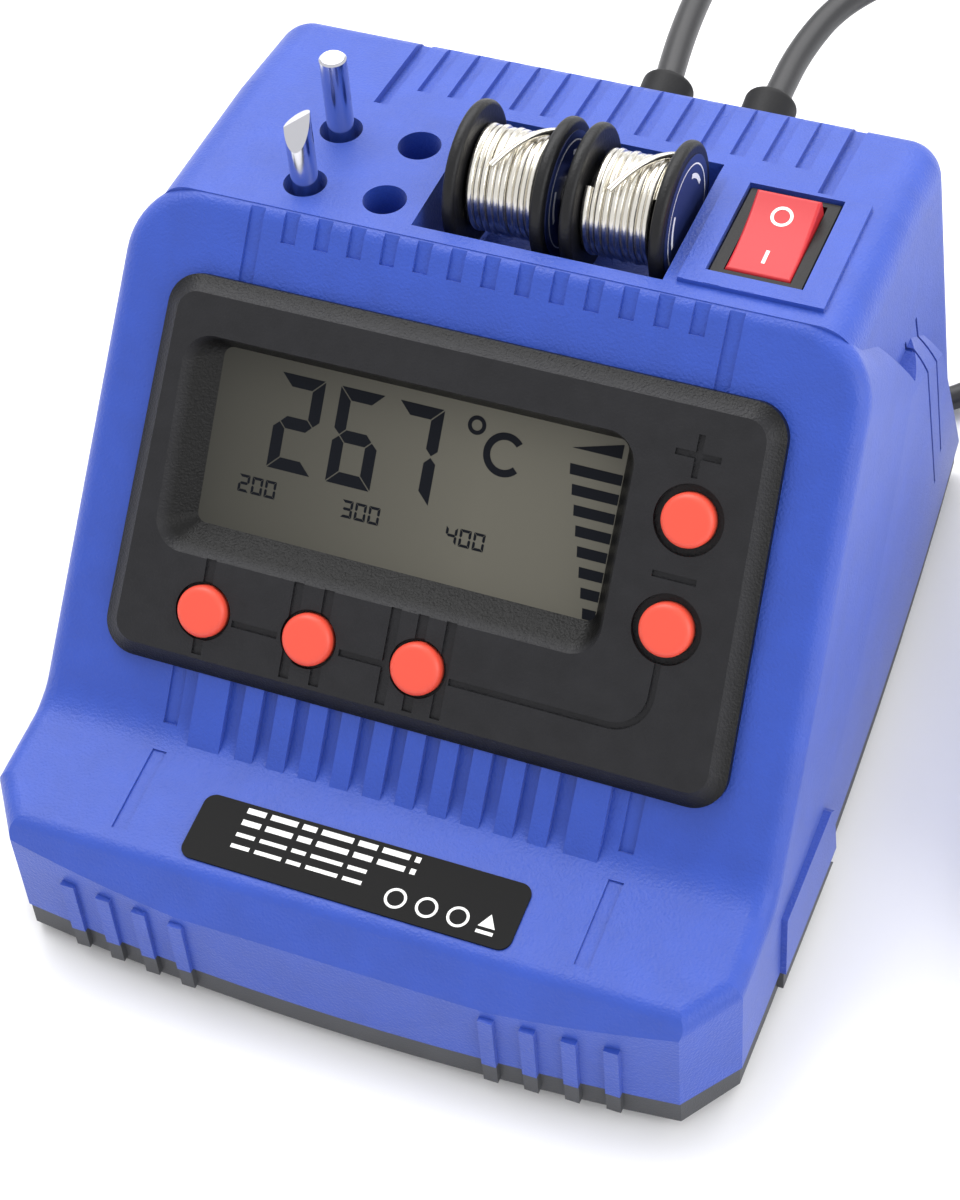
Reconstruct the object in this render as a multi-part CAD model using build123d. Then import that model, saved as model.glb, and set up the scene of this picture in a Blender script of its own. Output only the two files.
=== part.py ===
from build123d import *
import os
from math import atan2, cos, degrees, hypot, pi, radians, sin, tan

# Soldering iron station. Millimetres. X to the right, Y to the back, Z up.
# Built with the housing's middle at the origin, then moved so that the origin lies on the floor
# under the middle of everything but the cords.

os.makedirs("parts", exist_ok=True)

ORIGIN = (27.985, -4.075)

# ---------------------------------------------------------------- housing
FOOT_H = 1.5             # rubber feet lift the tray off the bench
JOINT_Z = 7.7            # parting line between tray and shell
WALL = 2.4
FRONT_Y = -77.9
REAR_Y = 77.6
DECK_Z = 98.4
CREST_Z = 99.6
TOE_SLOPE = 6.63         # degrees
TOE_MARK = (-58.8, 29.8) # y, z of a point on the toe shelf
TOE_EDGE_Y = -72.6
APRON_TOP_Z = 21.0
HALF_W = 63.3
HALF_W_REAR = 57.6
HALF_W_TOP = 61.0        # at the crest, across the slanted face
SIDE_DRAFT = 0.026
SHOULDER_V = 76.0
SHOULDER_R = 13.0
REAR_HALF_W = 57.4
HEAD_ROLL = 3.2
BEND_R = 9.0
LEDGE_Z = 70.0

# ---------------------------------------------------------------- slanted panel
SLOPE = radians(51.84)
PANEL_FOOT = (-46.0, 42.0)   # y, z of the bezel's lower edge
BEZEL_PROUD = 3.5
BEZEL_H = 62.5
BEZEL_HALF_LOW = 52.8
BEZEL_HALF_TOP = 50.7
BEZEL_R = 5.5
GLASS_DEPTH = 4.5
GLASS_BOX = (-41.0, 23.5, 26.8, 52.0)      # x0, v0, x1, v1 at the glass
RECESS_BOX = (-46.0, 18.8, 29.3, 53.6)     # same at the bezel face
BUTTON_R = 4.2
BUTTON_GAP = 0.08
BUTTONS = {
    "button_preset_1": (-35.4, 10.4),
    "button_preset_2": (-17.0, 10.4),
    "button_preset_3": (1.5, 10.4),
    "button_plus": (39.1, 43.1),
    "button_minus": (39.1, 26.2),
}
TALLIES = (-36.2, -20.9, -15.7, -4.3, 0.3, 5.0)      # left edges of the tally grooves
TALLY_W = 1.7
GUIDES = ((-30.2, -22.3), (-11.6, -4.3), (7.0, 33.0))
BOARD_H = -13.6          # control board's front face, below the bezel face

# ---------------------------------------------------------------- deck
TIP_HOLE_R = 3.5
TIP_HOLE_DEPTH = 22.0
TIP_X = (-34.5, -20.9)
TIP_Y = (10.3, 24.2)
TIP_SHANK_R = 2.2
TIP_SKIRT_R = 3.42
BAY = (-14.6, 6.0, 26.3, 34.6)             # x0, y0, x1, y1
BAY_FLOOR_Z = 84.0
SPOOL_Y = 20.3
SPOOL_Z = 98.5
SPOOL_R = 11.8
SPOOL_W = 16.5
SPOOL_FLANGE = 2.1
SPOOL_CORE_R = 5.2
SPOOL_BORE_R = 3.05
AXLE_R = 3.0
SPOOL_X = {"left": -10.8, "right": 8.4}
RIB_X = (6.35, 7.9)
WIRE_D = 1.2
WIND_R = 8.4
SWITCH_C = (39.45, 20.0)
SWITCH_SIZE = (15.0, 21.0)
PAD_BOX = (28.4, 6.4, 51.2, 31.0)
PAD_TOP_Z = 99.2
ROCKER_SIZE = (10.2, 17.4)
ROCKER_TILT = 11.0
ROCKER_PIVOT_Z = 93.8
SWITCH_SINK = 0.6         # how far the switch's rim lies below the pad
SWITCH_RIM = 1.4

# ---------------------------------------------------------------- cords
MAINS_D = 4.6
IRON_D = 4.8
MAINS_EXIT = (26.1, 90.7)    # x, z on the rear wall
IRON_EXIT = (8.4, 90.0)
COLLAR_R = 4.4
GROMMET_NECK = 3.9
MAINS_ROUTE = [
    (26.4, 49.0, 91.3), (25.8, 62.0, 90.5), (25.2, 77.0, 89.6), (27.5, 93.0, 88.8),
    (35.5, 108.0, 87.0), (47.5, 119.0, 81.0), (58.5, 125.5, 69.5), (65.5, 127.5, 53.5),
    (68.5, 124.5, 36.5), (68.5, 116.5, 21.0), (64.5, 105.5, 9.5), (56.0, 95.0, 3.4),
    (43.5, 87.6, 2.3), (29.0, 84.0, 2.3), (14.0, 82.7, 2.3),
]
MAINS_TAIL = [(-3.0, 84.2, 6.9), (-12.0, 86.7, 6.9), (-20.8, 89.6, 6.85), (-29.5, 92.6, 6.8)]
IRON_ROUTE = [
    (9.6, 49.0, 90.0), (7.2, 62.0, 90.2), (4.9, 77.0, 90.0), (3.6, 93.0, 89.4), (7.5, 110.0, 89.0),
    (18.5, 126.0, 87.4), (33.5, 139.0, 82.5), (49.5, 149.5, 73.5), (62.0, 157.5, 60.0),
    (69.5, 161.5, 43.5), (72.0, 160.5, 26.5), (71.3, 153.5, 12.0), (70.2, 142.0, 4.0), (70.0, 129.0, 2.4),
]
IRON_TAIL = [
    (71.0, 121.0, 7.2), (73.4, 111.8, 9.6), (75.7, 102.6, 11.2), (77.9, 93.3, 11.6), (79.94, 84.3, 11.6),
]
MAINS_COIL = (4.0, 113.0)
IRON_COIL = (100.3, 130.0)
MAINS_COIL_H = 13.8
IRON_COIL_H = 9.8
COIL_MID_R = 25.5
COIL_HALF_W = 7.2
PLUG_AT = (-29.5, 92.6, 6.8)
PLUG_TURN = 161.0            # degrees, which way the plug lies
PLUG_W = 35.3
PLUG_T = 13.6
PLUG_L = 34.0
PIN_R = 2.0
PIN_L = 19.0
PIN_HALF_PITCH = 9.3
HANDSET_AT = (80.0, 84.0, 11.6)      # rear end of the handset
HANDSET_TURN = -77.5                 # degrees, which way its tip points


UP = (Align.CENTER, Align.CENTER, Align.MIN)
DOWN = (Align.CENTER, Align.CENTER, Align.MAX)


def panel_point(x, v, h):
    """Point at x, v up the slope and h out of the bezel's face."""
    y = PANEL_FOOT[0] + v * cos(SLOPE) - h * sin(SLOPE)
    z = PANEL_FOOT[1] + v * sin(SLOPE) + h * cos(SLOPE)
    return (x, y, z)


def panel_plane(x=0.0, v=0.0, h=0.0):
    return Plane(origin=panel_point(x, v, h), x_dir=(1, 0, 0), z_dir=(0, -sin(SLOPE), cos(SLOPE)))


def slant_y(z, h=-BEZEL_PROUD):
    """y where the slanted surface, h out of the bezel face, has height z."""
    v = (z - PANEL_FOOT[1] - h * cos(SLOPE)) / sin(SLOPE)
    return panel_point(0, v, h)[1]


def toe_z(y):
    return TOE_MARK[1] + (y - TOE_MARK[0]) * tan(radians(TOE_SLOPE))


def bend_point(h):
    """Where the toe shelf meets the slanted surface."""
    low, high = -60.0, -40.0
    for _ in range(40):
        mid = (low + high) / 2
        y, z = panel_point(0, (toe_z(mid) - PANEL_FOOT[1] - h * cos(SLOPE)) / sin(SLOPE), h)[1:]
        if y > mid:
            low = mid
        else:
            high = mid
    return (mid, toe_z(mid))


def rear_y(z):
    """y of the leaning rear wall at height z."""
    return REAR_Y - (z - JOINT_Z) * (REAR_Y - 52.5) / (96.8 - JOINT_Z)


def side_prism(points, half_width):
    """Y-Z outline run across the part."""
    face = Plane.YZ * make_face(Polyline(*points, close=True))
    return extrude(face, amount=half_width, both=True)


def plan_outline(grow=0.0):
    """Plan shape of the housing at its widest: bowed front, cut corners, bowed sides."""
    w = HALF_W + grow
    f = FRONT_Y - grow
    r = REAR_Y + grow
    front = ThreePointArc((-56.5, f + 3.2), (0, f), (56.5, f + 3.2))
    right_cut = Line((56.5, f + 3.2), (w, f + 12.7))
    right = ThreePointArc((w, f + 12.7), (w - 0.9, -3.0), (HALF_W_REAR + grow, r))
    rear = Line((HALF_W_REAR + grow, r), (-HALF_W_REAR - grow, r))
    left = ThreePointArc((-HALF_W_REAR - grow, r), (-w + 0.9, -3.0), (-w, f + 12.7))
    left_cut = Line((-w, f + 12.7), (-56.5, f + 3.2))
    return make_face(front + right_cut + right + rear + left + left_cut)


def panel_outline_prism(grow=0.0):
    """Outline seen square to the slanted face: drafted sides and two round top corners."""
    low_v = -75.0
    low = HALF_W_TOP + grow + (SHOULDER_V - low_v) * SIDE_DRAFT
    top = HALF_W_TOP + grow
    top_v = SHOULDER_V + grow
    sketch = make_face(Polyline((-low, low_v), (low, low_v), (top, top_v), (-top, top_v), close=True))
    sketch = fillet(sketch.vertices().group_by(Axis.Y)[-1], SHOULDER_R + grow)
    return extrude(panel_plane(h=-150) * sketch, amount=200)


def head_points(inset=0.0):
    """Side outline of the toe, slanted face, crest and cheek."""
    t = inset
    bend = bend_point(-BEZEL_PROUD - t)
    drop = t / cos(radians(TOE_SLOPE))
    crest_y = slant_y(CREST_Z - t, -BEZEL_PROUD - t)
    return [
        (FRONT_Y + t, JOINT_Z - (5 if t else 0)),
        (FRONT_Y + 0.7 + t, APRON_TOP_Z),
        (TOE_EDGE_Y + 0.6 * t, toe_z(TOE_EDGE_Y) - drop),
        (bend[0] + 0.4 * t, bend[1] - drop),
        (crest_y, CREST_Z - t),
        (5.8 - 0.3 * t, CREST_Z - t),
        (26.0 - t, LEDGE_Z - t),
        (40.0 - t, LEDGE_Z - t),
        (REAR_Y - 1.3 * t, JOINT_Z - (5 if t else 0)),
    ]


def rounded_head(points, half_width):
    """Head block with the toe bend rounded in its side outline."""
    sketch = make_face(Polyline(*points, close=True))
    y, z = points[3]
    bend = sketch.vertices().sort_by(lambda v: hypot(v.X - y, v.Y - z))[0]
    sketch = fillet(bend, BEND_R)
    return extrude(Plane.YZ * sketch, amount=half_width, both=True)


def rear_block_points(inset=0.0):
    t = inset
    top = DECK_Z - t
    low = JOINT_Z - (5 if t else 0)
    return [
        (-22.0 + t, low),
        (-22.0 + t, 55.0),
        (3.5 + t, 88.0),
        (3.5 + t, top),
        (32.0, top),
        (52.5 - 1.2 * t, 96.8 - t),
        (rear_y(low) - 1.04 * t, low),
    ]


def head_solid():
    head = rounded_head(head_points(), 70)
    head &= extrude(plan_outline(), amount=110)
    head &= panel_outline_prism()
    return head


def rolled_head():
    """Head block with its slanted face and toe shelf rounded along their outer edges."""
    head = head_solid()
    slant = face_facing(head, (0, -sin(SLOPE), cos(SLOPE)))
    toe = face_facing(head, (0, -sin(radians(TOE_SLOPE)), cos(radians(TOE_SLOPE))))
    bend = [f for f in head.faces() if f.geom_type == GeomType.CYLINDER and -56 < f.center().Y < -44][0]
    loop = []
    for face in (slant, toe, bend):
        for edge in face.outer_wire().edges():
            centre = edge.center()
            if abs(centre.X) < 1 and -56 < centre.Y < -42:
                continue
            loop.append(edge)
    return fillet(loop, HEAD_ROLL)


def face_facing(solid, direction):
    """Largest flat face of a solid that faces one way."""
    target = Vector(*direction)
    flats = [f for f in solid.faces() if f.geom_type == GeomType.PLANE]
    facing = [f for f in flats if (f.normal_at() - target).length < 0.001]
    return max(facing, key=lambda f: f.area)


def rear_block():
    """Narrower block behind the head that carries the deck."""
    sketch = make_face(Polyline(*rear_block_points(), close=True))
    corner = sketch.vertices().sort_by(lambda v: hypot(v.X - 52.5, v.Y - 96.8))[0]
    sketch = fillet(corner, 5.0)
    block = extrude(Plane.YZ * sketch, amount=REAR_HALF_W, both=True)
    wall = face_facing(block, (0, cos(rear_lean()), sin(rear_lean())))
    uprights = [e for e in wall.outer_wire().edges() if abs(abs(e.center().X) - REAR_HALF_W) < 0.01]
    return fillet(uprights, 6.0)


def rear_lean():
    return atan2(REAR_Y - 52.5, 96.8 - JOINT_Z)


def cavity():
    """Hollow of the shell."""
    head = make_face(Polyline(*head_points(WALL), close=True))
    front = extrude(Plane.YZ * head, amount=70, both=True)
    front &= Pos(0, 0, JOINT_Z - 5) * extrude(plan_outline(-WALL), amount=110)
    front &= panel_outline_prism(-WALL)
    rear = make_face(Polyline(*rear_block_points(WALL), close=True))
    back = extrude(Plane.YZ * rear, amount=REAR_HALF_W - WALL, both=True)
    back &= Pos(0, 0, JOINT_Z - 5) * extrude(plan_outline(-WALL), amount=110)
    return front, back


def box(x0, y0, z0, x1, y1, z1):
    """Box from its low corner to its high corner."""
    return Pos(x0, y0, z0) * Box(x1 - x0, y1 - y0, z1 - z0, align=(Align.MIN, Align.MIN, Align.MIN))


def panel_box(x0, v0, x1, v1, h0, h1):
    """Box in the slanted panel's own directions."""
    body = Box(x1 - x0, v1 - v0, h1 - h0, align=(Align.MIN, Align.MIN, Align.MIN))
    return panel_plane(x0, v0, h0) * body


# ---------------------------------------------------------------- relief on the shell
BAR_PITCH = 5.6
CREST_PITCH = 5.58
REAR_PITCH = 5.32
STRIP = (37.9, 40.4)     # x range of the narrow strips either side


def vent_bars():
    """Raised bars between the bezel and the toe shelf."""
    spans = [(-35.2, -29.6), (29.6, 35.2)]
    for k in range(10):
        centre = (k - 4.5) * BAR_PITCH
        spans.append((centre - 1.55, centre + 1.55))
    return [panel_box(a, -13.2, b, -0.05, -BEZEL_PROUD - 2.0, -BEZEL_PROUD + 1.3) for a, b in spans]


def crest_grooves():
    """Short shallow grooves across the crest."""
    cuts = []
    for k in range(-6, 7):
        x = k * CREST_PITCH
        cuts.append(panel_box(x - 1.0, 69.7, x + 1.5, 80.0, -BEZEL_PROUD - 0.55, 5))
        cuts.append(box(x - 1.0, 2.0, CREST_Z - 0.55, x + 1.5, 6.5, CREST_Z + 2))
    return cuts


def rear_grooves():
    """Grooves across the rear roll; the end ones run up to the deck's crease."""
    grooves = []
    for k in range(15):
        x = -32.4 + k * REAR_PITCH
        start = 32.2 if k in (0, 14) else 37.5
        floor_z = 97.05
        grooves.append(Pos(x, start, floor_z) * Rot(X=-4.46) * Box(2.4, 30, 6, align=(Align.MIN,) * 3))
        notch = Box(2.4, 4, 40, align=(Align.MIN, Align.MIN, Align.MIN))
        grooves.append(Pos(x, rear_y(84) - 0.9, 84) * Rot(X=degrees(rear_lean())) * notch)
    return grooves


def cheek_grooves():
    """Two shallow grooves that run down and back on each side."""
    core = extrude(plan_outline(-0.5), amount=LEDGE_Z - 0.5) & panel_outline_prism(-0.5)
    cuts = []
    for top_y, foot_y, foot_z in ((38.0, 55.0, 27.0), (32.0, 51.0, 23.0)):
        slab = [(top_y - 0.4, LEDGE_Z + 2), (top_y + 0.4, LEDGE_Z + 2),
                (foot_y + 0.4, foot_z), (foot_y - 0.4, foot_z)]
        cuts.append(side_prism(slab, 70) - core)
    return cuts


def strip_grooves():
    """Narrow strips that run down the slanted face and along the toe, and over the crest."""
    cuts = []
    for side in (-1, 1):
        x0 = min(side * STRIP[0], side * STRIP[1])
        x1 = max(side * STRIP[0], side * STRIP[1])
        cuts.append(panel_box(x0, -10.0, x1, 5.0, -BEZEL_PROUD - 0.45, 5))
        cuts.append(Pos(x0, -69.2, toe_z(-69.2) - 0.4) * Rot(X=TOE_SLOPE) * Box(x1 - x0, 15.5, 9,
                    align=(Align.MIN, Align.MIN, Align.MIN)))
        cuts.append(panel_box(x0, 60.0, x1, 80.0, -BEZEL_PROUD - 0.45, 5))
        cuts.append(box(x0, 2.0, CREST_Z - 0.45, x1, 6.5, CREST_Z + 2))
    return cuts


def apron_ribs(z0, z1, proud):
    """Four upright ribs at each end of the apron."""
    ribs = []
    for side in (-1, 1):
        for k in range(4):
            x = side * (26.4 + 6.63 * k)
            y = FRONT_Y + 3.2 * (x / 56.5) ** 2
            ribs.append(box(x - 1.2, y - proud, z0, x + 1.2, y + 3, z1))
    return ribs


def side_rails(z0, z1, proud):
    """Raised rail low on each side, near the front."""
    rails = []
    for side in (-1, 1):
        x0 = side * (HALF_W - 4)
        outline = Polyline((-46.5, z0), (-20.0, z0), (-22.0, z1 - 2), (-24.0, z1), (-46.5, z1), close=True)
        bar = extrude(Plane.YZ * make_face(outline), amount=HALF_W + proud, both=True)
        keep = box(min(x0, side * 70), -60, z0, max(x0, side * 70), 0, z1)
        rails.append(bar & keep)
    return rails


# ---------------------------------------------------------------- shell and tray
def bay_box(grow, floor):
    return box(BAY[0] - grow, BAY[1] - grow, floor, BAY[2] + grow, BAY[3] + grow, DECK_Z + 3)


def tip_seats():
    return [(x, y) for x in TIP_X for y in TIP_Y]


def shell_base():
    front, back = cavity()
    solid = rolled_head() + rear_block()
    solid += [box(PAD_BOX[0], PAD_BOX[1], DECK_Z - 1, PAD_BOX[2], PAD_BOX[3], PAD_TOP_Z)]
    solid += vent_bars()
    solid += apron_ribs(JOINT_Z, 19.5, 0.9)
    solid += side_rails(JOINT_Z, 22.0, 1.0)
    solid -= crest_grooves()
    solid -= rear_grooves()
    solid -= strip_grooves()
    solid -= cheek_grooves()
    return solid - front - back


def upper_shell():
    shell = shell_base()
    walls = box(BAY[0] - 1.8, BAY[1] - 1.8, BAY_FLOOR_Z - 1.8, BAY[2] + 1.8, BAY[3] + 1.8, DECK_Z - 0.5)
    shell += walls
    tubes = [Pos(x, y, DECK_Z - 1) * Cylinder(TIP_HOLE_R + 1.6, TIP_HOLE_DEPTH + 1, align=DOWN)
             for x, y in tip_seats()]
    shell += tubes
    shell -= bay_box(0, BAY_FLOOR_Z)
    shell -= [Pos(x, y, DECK_Z + 2) * Cylinder(TIP_HOLE_R, TIP_HOLE_DEPTH + 2, align=DOWN)
              for x, y in tip_seats()]
    shell += axle_rib()
    sx, sy = SWITCH_SIZE
    cx, cy = SWITCH_C
    shell += Pos(cx, cy, DECK_Z - WALL - 1.5) * Box(sx + 4, sy + 4, WALL + 1, align=UP)
    shell -= Pos(cx, cy, PAD_TOP_Z - SWITCH_SINK - SWITCH_RIM) * Box(sx + 0.2, sy + 0.2, 5, align=UP)
    shell -= Pos(cx, cy, 90) * Box(13.0, 19.2, 15, align=UP)
    shell -= panel_box(-46.0, 4.0, 46.0, 58.5, -12, 5)
    for x, z, d in cord_exits():
        shell -= rear_axis(x, z, -8) * Cylinder(d / 2 + 1.5, 20, align=UP)
    shell += [Pos(x, y, JOINT_Z) * (Cylinder(3.6, 20, align=UP) - Cylinder(1.5, 16, align=UP))
              for x, y in screw_posts()]
    return shell


def axle_rib():
    """Upright rib between the two reels that carries their axle."""
    x0, x1 = RIB_X
    rib = box(x0, SPOOL_Y - 4.4, BAY_FLOOR_Z - 0.5, x1, SPOOL_Y + 4.4, SPOOL_Z)
    rib += along_x(x0, SPOOL_Y, SPOOL_Z, Cylinder(4.4, x1 - x0, align=UP))
    return rib - along_x(x0 - 1, SPOOL_Y, SPOOL_Z, Cylinder(AXLE_R, x1 - x0 + 2, align=UP))


def cord_exits():
    return [(MAINS_EXIT[0], MAINS_EXIT[1], MAINS_D), (IRON_EXIT[0], IRON_EXIT[1], IRON_D)]


def rear_axis(x, z, out):
    """Location on the rear wall's outward normal."""
    y = rear_y(z)
    lean = rear_lean()
    plane = Plane(origin=(x, y + out * cos(lean), z + out * sin(lean)), x_dir=(1, 0, 0),
                  z_dir=(0, cos(lean), sin(lean)))
    return plane


def screw_posts():
    return [(-50.0, -60.0), (50.0, -60.0), (-52.5, 60.0), (52.5, 60.0)]


def base_tray():
    low = extrude(plan_outline(-0.5), amount=JOINT_Z - FOOT_H)
    low = chamfer(low.edges().group_by(Axis.Z)[0], 0.8)
    low += apron_ribs(JOINT_Z - FOOT_H - 4.6, JOINT_Z - FOOT_H, 0.7)
    low += side_rails(JOINT_Z - FOOT_H - 4.0, JOINT_Z - FOOT_H, 0.6)
    low -= Pos(0, 0, 2.0) * extrude(plan_outline(-3.0), amount=20)
    lip = extrude(plan_outline(-WALL - 0.25), amount=4) - extrude(plan_outline(-WALL - 1.45), amount=4)
    lip &= box(-70, -80, 0, 70, REAR_Y - 4, 4)
    lip -= [Pos(x, y, 0) * Cylinder(3.9, 5, align=UP) for x, y in screw_posts()]
    low += Pos(0, 0, JOINT_Z - FOOT_H - 2) * lip
    tray = Pos(0, 0, FOOT_H) * low
    tray += [Pos(x, y, FOOT_H) * Cylinder(3.6, JOINT_Z - FOOT_H, align=UP) for x, y in screw_posts()]
    tray -= [Pos(x, y, 0) * Cylinder(1.7, 12, align=UP) for x, y in screw_posts()]
    tray -= [Pos(x, y, 0) * Cylinder(3.0, FOOT_H + 2.0, align=UP) for x, y in screw_posts()]
    tray += [Pos(x, y, FOOT_H + 1.5) * Cylinder(2.6, 6.5, align=UP) for x, y in board_posts()]
    return tray


def board_posts():
    return [(-40.0, -44.0), (12.0, -44.0), (-40.0, -8.0), (12.0, -8.0)]


# ---------------------------------------------------------------- front panel
def bezel_outline(grow=0.0, r=BEZEL_R):
    corners = [(-BEZEL_HALF_LOW, 0), (BEZEL_HALF_LOW, 0), (BEZEL_HALF_TOP, BEZEL_H), (-BEZEL_HALF_TOP, BEZEL_H)]
    sketch = make_face(Polyline(*corners, close=True))
    sketch = fillet(sketch.vertices(), r)
    return offset(sketch, grow) if grow else sketch


def rounded_rect(x0, v0, x1, v1, radius):
    centre = Pos((x0 + x1) / 2, (v0 + v1) / 2, 0)
    return centre * RectangleRounded(x1 - x0, v1 - v0, radius)


def front_bezel():
    """Bezel plate with bevelled rim, display recess, button wells and a skirt behind."""
    flat = panel_plane(h=0) * bezel_outline(-2.6, BEZEL_R + 0.5)
    edge = panel_plane(h=-1.9) * bezel_outline()
    back = panel_plane(h=-BEZEL_PROUD) * bezel_outline()
    plate = loft([edge, flat]) + loft([back, edge])
    skirt = panel_box(-45.8, 4.2, 45.8, 58.3, -15.0, -2.0)
    body = plate + skirt
    body -= panel_box(-44.0, 5.4, 44.0, 56.8, -16.0, -GLASS_DEPTH)
    mouth = loft([panel_plane(h=-GLASS_DEPTH - 0.01) * rounded_rect(*GLASS_BOX, 1.6),
                  panel_plane(h=0.01) * rounded_rect(*RECESS_BOX, 5.0)])
    body -= mouth
    for name, (x, v) in BUTTONS.items():
        well = 5.5 if name in ("button_plus", "button_minus") else 4.75
        body -= panel_plane(x, v, -GLASS_DEPTH - 1) * Cylinder(BUTTON_R + BUTTON_GAP, 10, align=UP)
        body -= panel_plane(x, v, -1.0) * Cylinder(well, 5, align=UP)
    body -= bezel_marks()
    return body


def bezel_marks():
    """Engraved plus, minus, tally grooves and guide lines."""
    deep = -0.45
    marks = [
        panel_box(35.0, 52.3, 42.2, 53.3, deep, 1), panel_box(38.1, 49.4, 39.1, 56.0, deep, 1),
        panel_box(35.2, 33.6, 42.2, 34.6, deep, 1),
    ]
    for left in TALLIES:
        marks.append(panel_box(left, 3.3, left + TALLY_W, 18.9, deep, 1))
    for x0, x1 in GUIDES:
        marks.append(panel_box(x0, 9.1, x1, 10.2, deep, 1))
    bend = panel_plane(33.0, 15.6, deep) * (Cylinder(6.5, 3, align=UP) - Cylinder(5.4, 3, align=UP))
    bend &= panel_box(33.0, 9.0, 40.0, 15.6, deep, 1)
    marks.append(bend)
    marks.append(panel_box(38.4, 15.6, 39.5, 20.8, deep, 1))
    return marks


def lcd_window():
    x0, v0, x1, v1 = GLASS_BOX
    return panel_box(x0 - 1.5, v0 - 1.5, x1 + 1.5, v1 + 1.5, -GLASS_DEPTH - 1.5, -GLASS_DEPTH)


def lcd_module():
    x0, v0, x1, v1 = GLASS_BOX
    return panel_box(x0 - 2.2, v0 - 2.2, x1 + 2.2, v1 + 2.2, -11.5, -GLASS_DEPTH - 1.5)


def control_board():
    board = panel_box(-43.6, 6.4, 43.6, 56.1, BOARD_H - 1.6, BOARD_H)
    for x, v in BUTTONS.values():
        board += panel_box(x - 3, v - 3, x + 3, v + 3, BOARD_H - 0.1, BOARD_H + 3.5)
        board += panel_plane(x, v, BOARD_H) * Cylinder(1.7, 4.1, align=UP)
    board += panel_box(-30, 24, 16, 50, BOARD_H - 0.1, -11.5)
    board += panel_box(-24, 18, -8, 26, BOARD_H - 3.2, BOARD_H - 1.5)
    return board


def button(x, v):
    """Domed cap with a flange and stem behind the bezel."""
    cap = Cylinder(BUTTON_R, 5.9, align=UP)
    cap = fillet(cap.edges().group_by(Axis.Z)[-1], 1.1)
    flange = Pos(0, 0, -1.2) * Cylinder(4.7, 1.2, align=UP)
    stem = Pos(0, 0, -4.0) * Cylinder(1.8, 3.0, align=UP)
    return panel_plane(x, v, -GLASS_DEPTH - 0.02) * (cap + flange + stem)


# ---------------------------------------------------------------- switch
def rocker_housing():
    sx, sy = SWITCH_SIZE
    cx, cy = SWITCH_C
    rim = extrude(RectangleRounded(sx, sy, 0.5), amount=SWITCH_RIM)
    rim = chamfer(rim.edges().group_by(Axis.Z)[-1], 0.35)
    case = Pos(0, 0, -17) * Box(12.9, 19.1, 17.2, align=UP)
    hollow = Pos(0, 0, -15.5) * Box(ROCKER_SIZE[0] + 0.3, 18.3, 20, align=UP)
    body = Pos(cx, cy, PAD_TOP_Z - SWITCH_SINK - SWITCH_RIM) * (rim + case - hollow)
    bore = Pos(cx, cy, ROCKER_PIVOT_Z) * Rot(Y=90) * Cylinder(1.25, 12.4)
    blades = [Pos(cx, cy + k * 6.0, PAD_TOP_Z - 28) * Box(4.8, 0.8, 9.5, align=UP) for k in (-1, 1)]
    return body - bore + blades


def rocker():
    """Rocker cap with a shallow dished top, standing tilted with its rear end up."""
    half, rise = 7.9, 6.8
    side = [(-half, rise), (-8.7, 1.0), (-4.0, -3.5), (4.0, -3.5), (8.7, 1.0), (half, rise)]
    dish = ThreePointArc((half, rise), (0, rise - 1.0), (-half, rise))
    sketch = make_face(Polyline(*side) + dish)
    cap = extrude(Plane.YZ * sketch, amount=ROCKER_SIZE[0] / 2, both=True)
    top = cap.edges().filter_by(lambda e: e.center().Z > 5.0)
    cap = fillet(top, 0.5)
    pins = Rot(Y=90) * Cylinder(1.2, 12.2)
    return Pos(*SWITCH_C, ROCKER_PIVOT_Z) * Rot(X=ROCKER_TILT) * (cap + pins)


# ---------------------------------------------------------------- spools
def along_x(x, y, z, solid):
    return Pos(x, y, z) * Rot(Y=90) * solid


def spool(x):
    """Plastic reel: two flanges with rounded rims and a core, bored for the axle."""
    f, w = SPOOL_FLANGE, SPOOL_W
    flange = fillet(Cylinder(SPOOL_R, f, align=UP).edges(), 0.9)
    reel = flange + Pos(0, 0, w - f) * flange + Cylinder(SPOOL_CORE_R, w, align=UP)
    reel -= Pos(0, 0, -1) * Cylinder(SPOOL_BORE_R, w + 2, align=UP)
    return along_x(x, SPOOL_Y, SPOOL_Z, reel)


def solder(x):
    """Wound solder wire, its outer face ribbed by the turns."""
    inner = SPOOL_W - 2 * SPOOL_FLANGE - 0.2
    turns = 10
    pitch = inner / turns
    wound = Cylinder(WIND_R - WIRE_D / 2, inner, align=UP) - Cylinder(SPOOL_CORE_R, inner, align=UP)
    for k in range(turns):
        ring = Torus(WIND_R - WIRE_D / 2, WIRE_D / 2)
        wound += Pos(0, 0, pitch * (k + 0.5)) * ring
    return along_x(x + SPOOL_FLANGE + 0.1, SPOOL_Y, SPOOL_Z, wound)


def spool_label(side):
    """Thin printed disc; the left reel's has a hole for the axle, which ends inside the right reel."""
    disc = Cylinder(9.9, 0.15, align=UP)
    if side == "left":
        disc -= Cylinder(SPOOL_BORE_R + 0.6, 0.15, align=UP)
    return along_x(SPOOL_X[side] + SPOOL_W, SPOOL_Y, SPOOL_Z, disc)


def spool_axle():
    x0 = SPOOL_X["left"] + 0.4
    x1 = SPOOL_X["right"] + SPOOL_W - 0.4
    return along_x(x0, SPOOL_Y, SPOOL_Z, Cylinder(AXLE_R, x1 - x0, align=UP))


# ---------------------------------------------------------------- spare tips
def tip_blank(top_z):
    seat = DECK_Z - TIP_HOLE_DEPTH
    skirt = Cylinder(TIP_SKIRT_R, 16.0, align=UP)
    skirt = chamfer(skirt.edges(), 0.4)
    return Pos(0, 0, seat) * (skirt + Cylinder(TIP_SHANK_R, top_z - seat, align=UP))


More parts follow.
